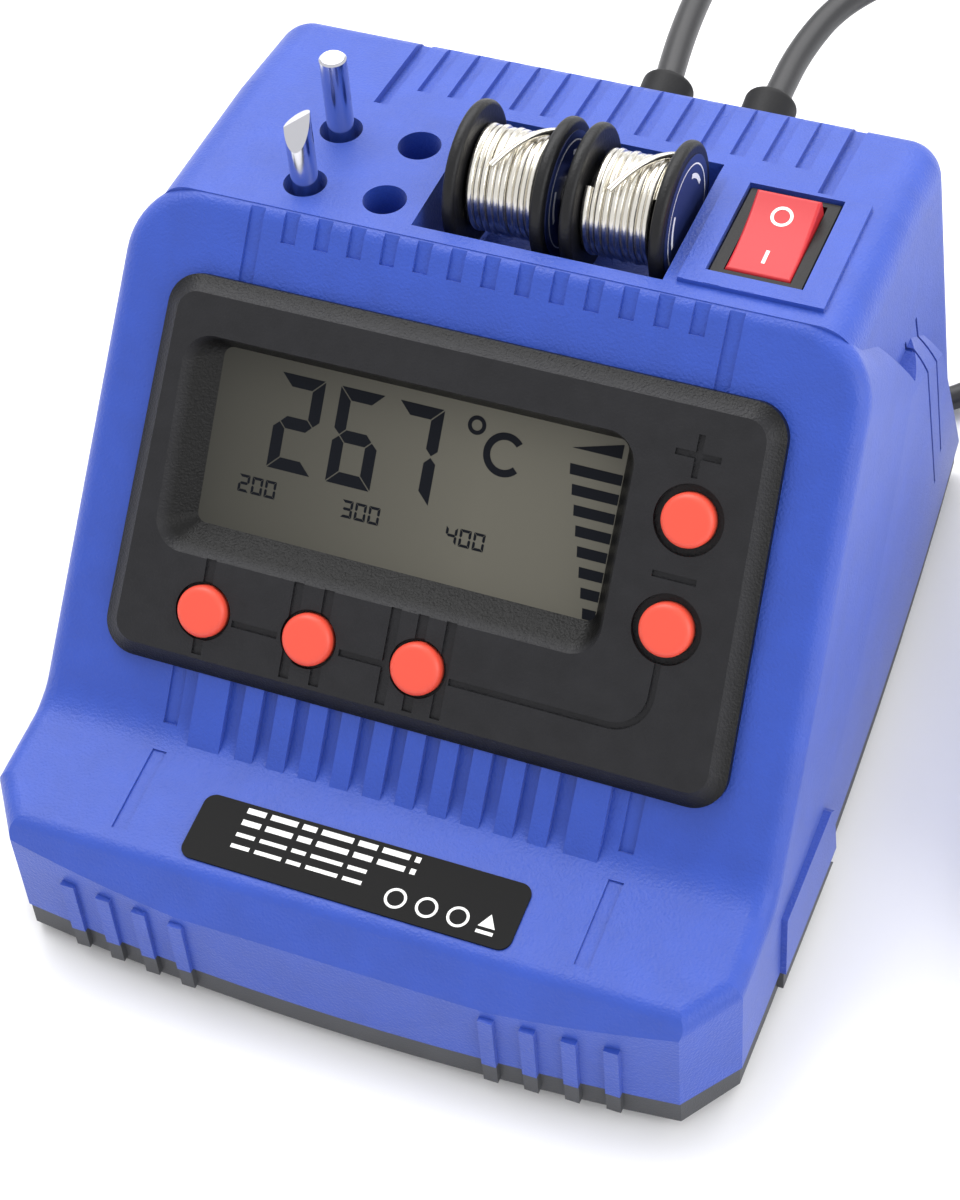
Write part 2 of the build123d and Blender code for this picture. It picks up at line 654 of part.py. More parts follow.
def tip_plain():
    blank = tip_blank(112.5)
    blank = chamfer(blank.edges().group_by(Axis.Z)[-1], 0.35)
    return Pos(TIP_X[0], TIP_Y[1], 0) * blank


def tip_chisel():
    blank = tip_blank(112.2)
    front = Pos(0, -2.2, 105.9) * Rot(X=-24) * Box(12, 4, 16, align=(Align.CENTER, Align.MAX, Align.MIN))
    top = Pos(0, 0, 110.7) * Rot(Y=-34) * Box(14, 10, 6, align=UP)
    return Pos(TIP_X[0], TIP_Y[0], 0) * (blank - front - top)


# ---------------------------------------------------------------- label, inner parts, feet, screws
def rating_plate():
    plate = extrude(RectangleRounded(55.7, 12.0, 2.0), amount=0.35)
    middle = (-70.67 - 58.75) / 2
    return Pos(-0.1, middle, toe_z(middle)) * Rot(X=TOE_SLOPE) * plate


def transformer():
    core = box(-30, 16, FOOT_H + 2.0, 22, 56, 36)
    core -= box(-22, 14, 11, 14, 58, 28)
    limb = box(-9, 16, 10.8, 1, 56, 28.2)
    coil = box(-21.6, 11, 11.4, 13.6, 61, 27.6) - box(-22, 16, 10.8, -21.4, 56, 28.2) - limb
    return core + limb, coil


def power_board():
    x0, y0, x1, y1 = -46.0, -50.0, 18.0, -2.0
    z = FOOT_H + 8.0
    board = box(x0, y0, z, x1, y1, z + 1.6)
    board += box(-38, -20, z + 1.5, -22, -8, z + 14)
    board += [Pos(-8 + 12 * k, -34, z + 1.5) * Cylinder(4.5, 13, align=UP) for k in range(2)]
    board += box(-36, -42, z + 1.5, -20, -34, z + 10)
    return board


def fuse_holder():
    clip = box(26, -40, FOOT_H + 2.0, 34, -14, 9.0)
    return clip + Pos(30, -38, 11.2) * Rot(X=-90) * Cylinder(2.6, 22, align=UP)


def foot(x, y):
    return Pos(x, y, 0) * chamfer(Cylinder(5.0, FOOT_H, align=UP).edges().group_by(Axis.Z)[0], 0.4)


def base_screw(x, y):
    head = Cylinder(2.8, 1.6, align=UP) - Box(0.8, 4.6, 1.2, align=(Align.CENTER, Align.CENTER, Align.CENTER))
    shank = Pos(0, 0, 1.6) * Cylinder(1.5, 16, align=UP)
    return Pos(x, y, FOOT_H + 0.4) * (head + shank)


def foot_places():
    return [(-42.0, -62.0), (42.0, -62.0), (-42.0, 62.0), (42.0, 62.0)]


# ---------------------------------------------------------------- cords
def cord_path(points):
    """Straight runs joined by tangent arcs as large as the runs allow."""
    radii = []
    places = [Vector(*p) for p in points]
    for before, here, after in zip(places, places[1:], places[2:]):
        run = min((here - before).length, (after - here).length)
        turn = radians((here - before).get_angle(after - here))
        radii.append(0.45 * run / tan(turn / 2))
    return FilletPolyline(*points, radius=radii), radii


def cord_tube(name, points, diameter):
    path, radii = cord_path(points)
    start = Plane(origin=path @ 0, z_dir=path % 0)
    tube = sweep(start * Circle(diameter / 2), path=path)
    area = pi * diameter ** 2 / 4
    print(name, "length", round(path.length, 1), "volume ratio", round(tube.volume / area / path.length, 4),
          "radii", [round(r, 1) for r in radii])
    return tube


def cord_coil(centre, height):
    ring = Cylinder(COIL_MID_R + COIL_HALF_W, height, align=UP)
    ring -= Cylinder(COIL_MID_R - COIL_HALF_W, height, align=UP)
    return Pos(*centre, 0) * fillet(ring.edges(), 3.0)


def grommet(x, z, diameter):
    """Ribbed collar on the rear wall with a flange inside."""
    collar = Cylinder(COLLAR_R, 5.5, align=UP)
    collar = fillet(collar.edges().group_by(Axis.Z)[-1], 1.2)
    neck = Pos(0, 0, -GROMMET_NECK - 0.4) * Cylinder(diameter / 2 + 1.2, GROMMET_NECK + 0.6, align=UP)
    inner = Pos(0, 0, -GROMMET_NECK - 1.3) * Cylinder(4.7, 1.3, align=UP)
    return rear_axis(x, z, 0) * (collar + neck + inner)


def plug_parts():
    """Flat two-pin plug with a tapered relief, lying on the floor."""
    place = Pos(*PLUG_AT) * Rot(Z=PLUG_TURN - 90)
    relief = Rot(X=-90) * Cone(3.2, 5.4, 20, align=UP)
    outline = make_face(Polyline((-8, 18), (8, 18), (PLUG_W / 2, 30), (PLUG_W / 2, 18 + PLUG_L),
                                 (-PLUG_W / 2, 18 + PLUG_L), (-PLUG_W / 2, 30), close=True))
    outline = fillet(outline.vertices(), 2.5)
    shell = Pos(0, 0, -PLUG_T / 2) * extrude(outline, amount=PLUG_T)
    shell = fillet(shell.edges().group_by(Axis.Z)[0] + shell.edges().group_by(Axis.Z)[-1], 1.6)
    pins = []
    for side in (-1, 1):
        pin = Cylinder(PIN_R, PIN_L, align=UP)
        pin = fillet(pin.edges().group_by(Axis.Z)[-1], 1.2)
        pins.append(place * Pos(side * PIN_HALF_PITCH, 18 + PLUG_L, 0) * Rot(X=-90) * pin)
    return place * (relief + shell), pins


def handset(x0, x1, r0, r1):
    """One turned piece of the handset between two distances from its rear end."""
    piece = Cone(r0, r1, x1 - x0, align=UP) if abs(r0 - r1) > 0.01 else Cylinder(r0, x1 - x0, align=UP)
    return Pos(*HANDSET_AT) * Rot(Z=HANDSET_TURN) * Pos(x0, 0, 0) * Rot(Y=90) * piece


def iron_handle():
    grip = handset(0, 14, 8.0, 9.6) + handset(14, 78, 9.6, 9.6) + handset(78, 92, 9.6, 11.6)
    grip += handset(92, 96, 11.6, 11.6)
    grip += [handset(24 + 7 * k, 27.5 + 7 * k, 10.1, 10.1) for k in range(7)]
    return grip


def iron_parts():
    relief = handset(-22, 0, 3.2, 5.6)
    collar = handset(96, 101, 8.6, 8.6) + handset(101, 108, 7.0, 5.2)
    barrel = handset(108, 152, 4.2, 4.2)
    tip = handset(152, 168, 3.2, 3.2) + handset(168, 182, 3.2, 0.9)
    return {"iron_relief": relief, "iron_handle": iron_handle(), "iron_collar": collar,
            "iron_barrel": barrel, "iron_tip": tip}


# ---------------------------------------------------------------- assembly
def all_parts():
    core, coil = transformer()
    plug, pins = plug_parts()
    mains_tube = cord_tube("mains", MAINS_ROUTE, MAINS_D)
    mains_tail = cord_tube("mains tail", MAINS_TAIL, MAINS_D)
    iron_tube = cord_tube("iron", IRON_ROUTE, IRON_D)
    iron_tail = cord_tube("iron tail", IRON_TAIL, IRON_D)
    parts = {
        "upper_shell": upper_shell(),
        "base_tray": base_tray(),
        "front_bezel": front_bezel(),
        "lcd_window": lcd_window(),
        "lcd_module": lcd_module(),
        "control_board": control_board(),
        "rocker_housing": rocker_housing(),
        "rocker": rocker(),
        "spool_axle": spool_axle(),
        "tip_plain": tip_plain(),
        "tip_chisel": tip_chisel(),
        "rating_plate": rating_plate(),
        "transformer_core": core,
        "transformer_coil": coil,
        "power_board": power_board(),
        "fuse_holder": fuse_holder(),
        "mains_grommet": grommet(*MAINS_EXIT, MAINS_D) - mains_tube,
        "iron_grommet": grommet(*IRON_EXIT, IRON_D) - iron_tube,
        "mains_cord_tube": mains_tube,
        "mains_cord_coil": cord_coil(MAINS_COIL, MAINS_COIL_H),
        "mains_cord_tail": mains_tail,
        "iron_cord_tube": iron_tube,
        "iron_cord_coil": cord_coil(IRON_COIL, IRON_COIL_H),
        "iron_cord_tail": iron_tail,
        "plug_body": plug - mains_tail,
    }
    for k, pin in enumerate(pins, 1):
        parts[f"plug_pin_{k}"] = pin
    for side, x in SPOOL_X.items():
        parts[f"spool_{side}"] = spool(x)
        parts[f"solder_{side}"] = solder(x)
        parts[f"spool_label_{side}"] = spool_label(side)
    for name, place in BUTTONS.items():
        parts[name] = button(*place)
    for k, place in enumerate(foot_places(), 1):
        parts[f"foot_{k}"] = foot(*place)
    for k, place in enumerate(screw_posts(), 1):
        parts[f"base_screw_{k}"] = base_screw(*place)
    parts.update(iron_parts())
    parts["iron_relief"] -= iron_tail
    return parts


for name, part in all_parts().items():
    export_step(Pos(-ORIGIN[0], -ORIGIN[1], 0) * part, f"parts/{name}.step")
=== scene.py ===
import math
import bpy
from mathutils import Matrix, Vector


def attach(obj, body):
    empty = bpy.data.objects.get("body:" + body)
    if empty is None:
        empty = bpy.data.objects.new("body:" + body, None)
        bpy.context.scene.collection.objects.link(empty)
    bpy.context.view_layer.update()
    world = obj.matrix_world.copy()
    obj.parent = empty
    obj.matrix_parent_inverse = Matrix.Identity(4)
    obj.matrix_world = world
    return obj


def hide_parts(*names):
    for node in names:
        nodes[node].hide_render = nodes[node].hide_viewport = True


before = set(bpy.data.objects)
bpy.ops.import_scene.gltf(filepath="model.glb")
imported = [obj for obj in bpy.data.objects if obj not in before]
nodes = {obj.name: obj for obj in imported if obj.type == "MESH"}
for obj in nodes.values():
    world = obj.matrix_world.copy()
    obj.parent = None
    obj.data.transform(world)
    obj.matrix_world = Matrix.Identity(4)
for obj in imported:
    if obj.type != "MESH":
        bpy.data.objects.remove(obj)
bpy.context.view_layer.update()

# ---------------------------------------------------------------- measures, in millimetres
MM = 0.001
ORIGIN = (27.985, -4.075)        # where the frame's origin lies from the housing's middle
SLOPE = math.radians(51.84)
PANEL_FOOT = (-46.0, 42.0)       # y, z of the bezel's lower edge
GLASS_DEPTH = 4.5
GLASS_BOX = (-41.0, 23.5, 26.8, 52.0)
GLASS_FADE = 46                  # width over which the display's shaded left part lightens
DIGIT_T = 1.95                   # stroke of the large figures
BAR_PITCH = 3.05                 # of the display's bar graph
BAR_H = 1.65
TOE_SLOPE = math.radians(6.63)
TOE_MARK = (-58.8, 29.8)
PLATE_T = 0.35
SPOOL_Y = 20.3
SPOOL_Z = 98.5
SPOOL_X = {"left": -10.8, "right": 8.4}
SPOOL_W = 16.5
SPOOL_FLANGE = 2.1
WIND_R = 7.8                     # middle of the outer solder layer
WIRE_R = 0.6
SWITCH_C = (39.45, 20.0)
DISH_EDGE = 7.9                  # half length of the rocker's dished top
DISH_LOW = 5.8                   # its lowest point, above the pivot
ROCKER_PIVOT_Z = 93.8
ROCKER_TILT = math.radians(11.0)
MAINS_D = 4.6
IRON_D = 4.8
COIL_MID_R = 25.5
LAY_PITCH = 4.8                  # between neighbouring turns across the coil
MAINS_COIL = (4.0, 113.0)
IRON_COIL = (100.3, 130.0)
MAINS_ROUTE = [
    (26.4, 49.0, 91.3), (25.8, 62.0, 90.5), (25.2, 77.0, 89.6), (27.5, 93.0, 88.8),
    (35.5, 108.0, 87.0), (47.5, 119.0, 81.0), (58.5, 125.5, 69.5), (65.5, 127.5, 53.5),
    (68.5, 124.5, 36.5), (68.5, 116.5, 21.0), (64.5, 105.5, 9.5), (56.0, 95.0, 3.4),
    (43.5, 87.6, 2.35), (29.0, 84.0, 2.35), (14.0, 82.7, 2.35),
]
MAINS_TAIL = [(-3.0, 84.2, 6.9), (-12.0, 86.7, 6.9), (-20.8, 89.6, 6.85), (-29.5, 92.6, 6.8)]
IRON_ROUTE = [
    (9.6, 49.0, 90.0), (7.2, 62.0, 90.2), (4.9, 77.0, 90.0), (3.6, 93.0, 89.4), (7.5, 110.0, 89.0),
    (18.5, 126.0, 87.4), (33.5, 139.0, 82.5), (49.5, 149.5, 73.5), (62.0, 157.5, 60.0),
    (69.5, 161.5, 43.5), (72.0, 160.5, 26.5), (71.3, 153.5, 12.0), (70.2, 142.0, 4.0),
]
IRON_TAIL = [
    (71.0, 121.0, 7.2), (73.4, 111.8, 9.6), (75.7, 102.6, 11.2), (77.9, 93.3, 11.6), (79.94, 84.3, 11.6),
]


def at(x, y, z):
    """A point given in the housing's millimetres."""
    return Vector((x - ORIGIN[0], y - ORIGIN[1], z)) * MM


def on_panel(x, v, h):
    """A point at x, v up the sloped panel and h out of the bezel's face."""
    y = PANEL_FOOT[0] + v * math.cos(SLOPE) - h * math.sin(SLOPE)
    z = PANEL_FOOT[1] + v * math.sin(SLOPE) + h * math.cos(SLOPE)
    return at(x, y, z)


def on_toe(x, s, h):
    """A point at x, s up the toe shelf from its mark and h above it."""
    y = TOE_MARK[0] + s * math.cos(TOE_SLOPE) - h * math.sin(TOE_SLOPE)
    z = TOE_MARK[1] + s * math.sin(TOE_SLOPE) + h * math.cos(TOE_SLOPE)
    return at(x, y, z)


# ---------------------------------------------------------------- camera, floor and light
def add_camera():
    data = bpy.data.cameras.new("camera")
    data.sensor_width = 36.0
    data.lens = 84.1
    data.shift_x = -0.00225
    data.shift_y = -0.0015
    data.clip_start = 0.01
    camera = bpy.data.objects.new("camera", data)
    forward = Vector((-0.29576, 0.60739, -0.73729)).normalized()
    roll = -0.0913
    level = forward.cross(Vector((0, 0, 1))).normalized()
    above = level.cross(forward)
    right = level * math.cos(roll) + above * math.sin(roll)
    up = above * math.cos(roll) - level * math.sin(roll)
    turn = Matrix((right, up, -forward)).transposed().to_4x4()
    camera.matrix_world = Matrix.Translation(at(136.57, -291.38, 376.46)) @ turn
    bpy.context.scene.collection.objects.link(camera)
    bpy.context.scene.camera = camera


def add_area(name, place, aim, size, power):
    data = bpy.data.lights.new(name, "AREA")
    data.shape = "RECTANGLE"
    data.size = size[0]
    data.size_y = size[1]
    data.energy = power
    lamp = bpy.data.objects.new(name, data)
    lamp.location = place
    lamp.rotation_euler = (Vector(aim) - Vector(place)).to_track_quat("-Z", "Y").to_euler()
    bpy.context.scene.collection.objects.link(lamp)


def add_world():
    world = bpy.data.worlds.new("studio")
    bpy.context.scene.world = world
    world.use_nodes = True
    back = world.node_tree.nodes["Background"]
    back.inputs["Color"].default_value = (0.99, 0.99, 1.0, 1)
    back.inputs["Strength"].default_value = 0.92


def add_floor():
    mesh = bpy.data.meshes.new("floor")
    r = 3.0
    mesh.from_pydata([(-r, -r, 0), (r, -r, 0), (r, r, 0), (-r, r, 0)], [], [(0, 1, 2, 3)])
    floor = bpy.data.objects.new("floor", mesh)
    bpy.context.scene.collection.objects.link(floor)
    floor.data.materials.append(surface("floor_white", (0.93, 0.93, 0.94), 0.85))


# ---------------------------------------------------------------- materials
def surface(name, colour, rough, metal=0.0, grain=0.0, grain_mm=0.3, mottle=0.0, mottle_mm=8.0,
            sheen=0.0, shine=0.5):
    """A plain surface with optional fine grain in relief and a soft change of tone."""
    made = bpy.data.materials.new(name)
    made.use_nodes = True
    tree = made.node_tree
    shader = tree.nodes["Principled BSDF"]
    shader.inputs["Base Color"].default_value = (*colour, 1)
    shader.inputs["Roughness"].default_value = rough
    shader.inputs["Metallic"].default_value = metal
    shader.inputs["Sheen Weight"].default_value = sheen
    shader.inputs["Sheen Roughness"].default_value = 0.5
    shader.inputs["Specular IOR Level"].default_value = shine
    place = tree.nodes.new("ShaderNodeTexCoord")
    if grain:
        noise = tree.nodes.new("ShaderNodeTexNoise")
        noise.inputs["Scale"].default_value = 1 / (grain_mm * MM)
        noise.inputs["Detail"].default_value = 3.0
        tree.links.new(place.outputs["Object"], noise.inputs["Vector"])
        bump = tree.nodes.new("ShaderNodeBump")
        bump.inputs["Strength"].default_value = grain
        bump.inputs["Distance"].default_value = 0.00015
        tree.links.new(noise.outputs["Fac"], bump.inputs["Height"])
        tree.links.new(bump.outputs["Normal"], shader.inputs["Normal"])
    if mottle:
        cloud = tree.nodes.new("ShaderNodeTexNoise")
        cloud.inputs["Scale"].default_value = 1 / (mottle_mm * MM)
        cloud.inputs["Detail"].default_value = 5.0
        tree.links.new(place.outputs["Object"], cloud.inputs["Vector"])
        ramp = tree.nodes.new("ShaderNodeValToRGB")
        ramp.color_ramp.elements[0].position = 0.3
        ramp.color_ramp.elements[0].color = (*(c * (1 - mottle) for c in colour), 1)
        ramp.color_ramp.elements[1].position = 0.7
        ramp.color_ramp.elements[1].color = (*(min(1, c * (1 + mottle)) for c in colour), 1)
        tree.links.new(cloud.outputs["Fac"], ramp.inputs["Fac"])
        tree.links.new(ramp.outputs["Color"], shader.inputs["Base Color"])
    return made


def paint_recess_shade(made, colour, level, reach):
    """Paint shade into a surface's colour: it turns towards colour where it lies further than level behind the
    bezel's face.
    """
    tree = made.node_tree
    shader = tree.nodes["Principled BSDF"]
    source = shader.inputs["Base Color"].links[0].from_socket
    place = tree.nodes.new("ShaderNodeTexCoord")
    out = tree.nodes.new("ShaderNodeVectorMath")
    out.operation = "DOT_PRODUCT"
    out.inputs[1].default_value = (0, -math.sin(SLOPE), math.cos(SLOPE))
    tree.links.new(place.outputs["Object"], out.inputs[0])
    face = on_panel(0, 0, 0).dot(Vector((0, -math.sin(SLOPE), math.cos(SLOPE))))
    span = tree.nodes.new("ShaderNodeMapRange")
    span.inputs["From Min"].default_value = face - (level + reach) * MM
    span.inputs["From Max"].default_value = face - level * MM
    tree.links.new(out.outputs["Value"], span.inputs["Value"])
    mix = tree.nodes.new("ShaderNodeMix")
    mix.data_type = "RGBA"
    mix.inputs["A"].default_value = (*colour, 1)
    tree.links.new(span.outputs["Result"], mix.inputs["Factor"])
    tree.links.new(source, mix.inputs["B"])
    tree.links.new(mix.outputs["Result"], shader.inputs["Base Color"])
    return made


def dress(node, made):
    mesh = nodes[node].data
    mesh.materials.clear()
    mesh.materials.append(made)


def dress_nodes():
    blue = surface("blue_abs", (0.017, 0.062, 0.400), 0.46, grain=0.9, grain_mm=0.45, mottle=0.06, mottle_mm=6,
                   sheen=0.12)
    grey = surface("grey_abs", (0.055, 0.057, 0.063), 0.6, grain=0.5, grain_mm=0.3, mottle=0.08)
    black = surface("bezel_abs", (0.014, 0.014, 0.016), 0.42, grain=0.9, grain_mm=0.4, mottle=0.12, mottle_mm=4,
                    shine=0.25)
    # painted shade: the bezel's recess walls turn near black from 0.4 mm behind its face, fully so 1.2 mm
    # further in
    paint_recess_shade(black, (0.001, 0.001, 0.001), 0.4, 1.2)
    red = surface("red_button", (0.76, 0.075, 0.042), 0.45, grain=0.08, grain_mm=0.4)
    rocker_red = surface("red_rocker", (0.52, 0.014, 0.020), 0.45, grain=0.1, grain_mm=0.4)
    case = surface("switch_black", (0.007, 0.006, 0.006), 0.42, grain=0.3, grain_mm=0.25, shine=0.25)
    reel = surface("reel_black", (0.007, 0.007, 0.008), 0.45, grain=0.5, grain_mm=0.5, mottle=0.15, shine=0.3)
    navy = surface("reel_label", (0.012, 0.020, 0.085), 0.35)
    steel = surface("turned_steel", (0.55, 0.55, 0.57), 0.35, metal=1.0, grain=0.1)
    chrome = surface("plated_tip", (0.62, 0.62, 0.66), 0.16, metal=1.0, grain=0.03, grain_mm=1.5)
    plate = surface("plate_black", (0.006, 0.006, 0.006), 0.55, grain=0.1, grain_mm=1.0, shine=0.12)
    rubber = surface("rubber", (0.010, 0.010, 0.011), 0.55, grain=0.3, grain_mm=0.4, shine=0.25)
    board = surface("board_green", (0.02, 0.14, 0.06), 0.4, mottle=0.1)
    copper = surface("winding_copper", (0.55, 0.24, 0.09), 0.35, metal=1.0, mottle=0.1)
    iron = surface("laminated_core", (0.16, 0.16, 0.17), 0.5, metal=0.8, mottle=0.15)
    fuse = surface("fuse_cream", (0.55, 0.53, 0.46), 0.4)
    navy_grip = surface("handle_blue", (0.030, 0.060, 0.300), 0.5, grain=0.4, grain_mm=0.35, mottle=0.05)
    tinned = surface("tinned_bit", (0.50, 0.47, 0.45), 0.28, metal=1.0, mottle=0.2, mottle_mm=3)
    pin = surface("plated_pin", (0.75, 0.72, 0.62), 0.25, metal=1.0)
    worn = {
        "upper_shell": blue, "base_tray": grey, "front_bezel": black, "lcd_window": display_with_painted_shade(),
        "lcd_module": surface("module_grey", (0.2, 0.2, 0.19), 0.5), "control_board": board,
        "rocker_housing": case, "rocker": rocker_red, "spool_axle": steel, "tip_plain": chrome,
        "tip_chisel": chrome, "rating_plate": plate, "transformer_core": iron, "transformer_coil": copper,
        "power_board": board, "fuse_holder": fuse, "mains_grommet": rubber, "iron_grommet": rubber,
        "plug_body": rubber, "plug_pin_1": pin, "plug_pin_2": pin, "iron_relief": rubber,
        "iron_handle": navy_grip, "iron_collar": grey, "iron_barrel": steel, "iron_tip": tinned,
    }
    for side in SPOOL_X:
        worn[f"spool_{side}"] = reel
        worn[f"spool_label_{side}"] = navy
    for name in nodes:
        if name.startswith("button_"):
            worn[name] = red
        if name.startswith("foot_"):
            worn[name] = rubber
        if name.startswith("base_screw_"):
            worn[name] = steel
    for name, made in worn.items():
        dress(name, made)


def display_with_painted_shade():
    """Olive-grey display face under clear film, with painted shade darkening it towards its left edge."""
    made = surface("display_face", (0.110, 0.105, 0.084), 0.28, shine=0.2)
    tree = made.node_tree
    shader = tree.nodes["Principled BSDF"]
    place = tree.nodes.new("ShaderNodeTexCoord")
    split = tree.nodes.new("ShaderNodeSeparateXYZ")
    tree.links.new(place.outputs["Object"], split.inputs["Vector"])
    span = tree.nodes.new("ShaderNodeMapRange")
    span.inputs["From Min"].default_value = (GLASS_BOX[0] - ORIGIN[0]) * MM
    span.inputs["From Max"].default_value = (GLASS_BOX[0] + GLASS_FADE - ORIGIN[0]) * MM
    tree.links.new(split.outputs["X"], span.inputs["Value"])
    ramp = tree.nodes.new("ShaderNodeValToRGB")
    # painted shade: the display's colour at its left edge, lightening to its own colour over GLASS_FADE
    ramp.color_ramp.elements[0].color = (0.042, 0.041, 0.034, 1)
    ramp.color_ramp.elements[1].color = (0.108, 0.103, 0.083, 1)
    tree.links.new(span.outputs["Result"], ramp.inputs["Fac"])
    tree.links.new(ramp.outputs["Color"], shader.inputs["Base Color"])
    return made


# ---------------------------------------------------------------- printed marks
def flat_piece(name, outlines, place, made, body):
    """Thin printed shapes: each outline is a list of 2-D points that place() puts in the frame."""
    verts, faces = [], []
    for outline in outlines:
        first = len(verts)
        verts.extend(place(*p) for p in outline)
        faces.append(tuple(range(first, first + len(outline))))
    mesh = bpy.data.meshes.new(name)
    mesh.from_pydata(verts, [], faces)
    mesh.materials.append(made)
    piece = bpy.data.objects.new(name, mesh)
    bpy.context.scene.collection.objects.link(piece)
    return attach(piece, body)


def bar(x0, v0, x1, v1):
    return [(x0, v0), (x1, v0), (x1, v1), (x0, v1)]


def arc_band(cx, cv, r0, r1, start=0.0, end=360.0, steps=40):
    """A ring or part of one, as short four-sided pieces."""
    parts = []
    for k in range(steps):
        a = math.radians(start + (end - start) * k / steps)
        b = math.radians(start + (end - start) * (k + 1) / steps)
        parts.append([
            (cx + r0 * math.cos(a), cv + r0 * math.sin(a)), (cx + r1 * math.cos(a), cv + r1 * math.sin(a)),
            (cx + r1 * math.cos(b), cv + r1 * math.sin(b)), (cx + r0 * math.cos(b), cv + r0 * math.sin(b)),
        ])
    return parts


SEGMENTS = {"0": "abcdef", "2": "abged", "3": "abgcd", "4": "fgbc", "6": "afedcg", "7": "abc"}


def digit(char, x, v, w, h, t, gap):
    """Seven-segment figure with mitred bars; x, v is its lower left corner."""
    m = h / 2
    shapes = {
        "a": [(gap, h), (w - gap, h), (w - t - gap, h - t), (t + gap, h - t)],
        "d": [(gap, 0), (t + gap, t), (w - t - gap, t), (w - gap, 0)],
        "g": [(t * 0.5 + gap, m), (t + gap, m + t / 2), (w - t - gap, m + t / 2), (w - t * 0.5 - gap, m),
              (w - t - gap, m - t / 2), (t + gap, m - t / 2)],
        "f": [(0, h - gap), (t, h - t - gap), (t, m + t / 2 + gap), (t * 0.5, m + gap),
              (0, m + t * 0.45 + gap)],
        "b": [(w, h - gap), (w, m + t * 0.45 + gap), (w - t * 0.5, m + gap), (w - t, m + t / 2 + gap),
              (w - t, h - t - gap)],
        "e": [(0, gap), (0, m - t * 0.45 - gap), (t * 0.5, m - gap), (t, m - t / 2 - gap), (t, t + gap)],
        "c": [(w, gap), (w - t, t + gap), (w - t, m - t / 2 - gap), (w - t * 0.5, m - gap),
              (w, m - t * 0.45 - gap)],
    }
    return [[(x + px, v + pv) for px, pv in shapes[name]] for name in SEGMENTS[char]]


def display_marks():
    marks = []
    for char, x in (("2", -30.8), ("6", -20.6), ("7", -10.7)):
        marks += digit(char, x, 34.7, 7.6, 15.3, DIGIT_T, 0.14)
    marks += arc_band(2.4, 48.9, 0.85, 1.5)
    marks += arc_band(7.6, 45.4, 2.3, 3.45, 42, 318)
    for text, x in (("200", -35.0), ("300", -17.1), ("400", 0.6)):
        for k, char in enumerate(text):
            marks += digit(char, x + k * 2.3, 29.8, 1.9, 2.8, 0.42, 0.05)
    for k in range(8):
        top = 46.6 - k * BAR_PITCH
        left = 18.4 + k * 0.9
        marks.append([(left, top - BAR_H), (26.7, top - BAR_H), (26.7, top), (left - 0.25, top)])
    marks.append([(18.0, 49.0), (26.0, 49.0), (26.0, 51.2)])
    ink = surface("display_ink", (0.004, 0.005, 0.008), 0.6, shine=0.1)

    def place(x, v):
        return on_panel(x, v, -GLASS_DEPTH + 0.03)

    flat_piece("display_marks", marks, place, ink, "station")


def plate_marks():
    """Generic rules and simple shapes in place of printed text."""
    white = surface("print_white", (0.82, 0.82, 0.80), 0.5)
    marks = []
    rows = ((-20.5, 10.8, 9.2, 1.0), (-20.5, 8.6, 9.2, 1.0), (-20.5, 6.3, 2.0, 0.7), (-20.5, 4.2, 2.0, 0.7))
    for x, s, end, tall in rows:
        run = x
        step = 0
        while run < end:
            width = (3.2, 4.6, 2.4, 5.4)[step % 4]
            marks.append(bar(run, s - 12.0 - tall / 2, min(run + width, end), s - 12.0 + tall / 2))
            run += width + 0.9
            step += 1
    for k in range(3):
        marks += arc_band(8.0 + 5.2 * k, -8.6, 1.35, 1.8)
    marks.append(bar(21.8, -10.2, 24.6, -9.6))
    marks.append([(21.8, -9.0), (24.6, -9.0), (23.2, -6.6)])

    def place(x, s):
        return on_toe(x, s, PLATE_T + 0.02)

    flat_piece("plate_marks", marks, place, white, "station")


def switch_marks():
    white = surface("switch_print", (0.9, 0.88, 0.86), 0.45)
    tilt = Matrix.Rotation(ROCKER_TILT, 4, "X")
    pivot = at(*SWITCH_C, ROCKER_PIVOT_Z)

    def place(x, y):
        dish = DISH_LOW + (y / DISH_EDGE) ** 2 + 0.04
        return pivot + tilt @ (Vector((x, y, dish)) * MM)

    marks = arc_band(0, 4.0, 1.25, 1.75)
    marks.append(bar(-0.28, -5.4, 0.28, -2.6))
    flat_piece("switch_marks", marks, place, white, "rocker")


def reel_marks(side):
    white = surface(f"reel_print_{side}", (0.75, 0.76, 0.80), 0.5)
    face = SPOOL_X[side] + SPOOL_W + 0.18

    def place(a, b):
        return at(face, SPOOL_Y + a, SPOOL_Z + b)

    marks = arc_band(0, 0, 8.35, 8.6, steps=64)
    for turn in (20, 140, 260):
        marks += arc_band(0, 0, 6.2, 7.0, turn, turn + 46, 10)
    flat_piece(f"reel_marks_{side}", marks, place, white, f"reel_{side}")


# ---------------------------------------------------------------- wire
def line_piece(name, points, radius, made):
    """A round wire through given points."""
    curve = bpy.data.curves.new(name, "CURVE")
    curve.dimensions = "3D"
    curve.bevel_depth = radius
    curve.bevel_resolution = 5
    curve.use_fill_caps = True
    spline = curve.splines.new("POLY")
    spline.points.add(len(points) - 1)
    for point, p in zip(spline.points, points):
        point.co = (*p, 1)
    curve.materials.append(made)
    piece = bpy.data.objects.new(name, curve)
    bpy.context.scene.collection.objects.link(piece)
    return piece


def winding_points(x0, turns, phase):
    """Turns of solder side by side on a reel, a little uneven."""
    width = SPOOL_W - 2 * SPOOL_FLANGE - 2 * WIRE_R
    start = x0 + SPOOL_FLANGE + WIRE_R
    steps = 40
    points = []
    for k in range(turns * steps + 1):
        t = k / steps
        a = phase + 2 * math.pi * t
        wobble = 0.16 * math.sin(2.3 * t + phase) * math.sin(a * 0.5 + t)
        r = WIND_R + 0.12 * math.sin(1.7 * t + a * 0.31)
        x = start + width * t / turns + wobble
        points.append(at(x, SPOOL_Y + r * math.cos(a), SPOOL_Z + r * math.sin(a)))
    return points


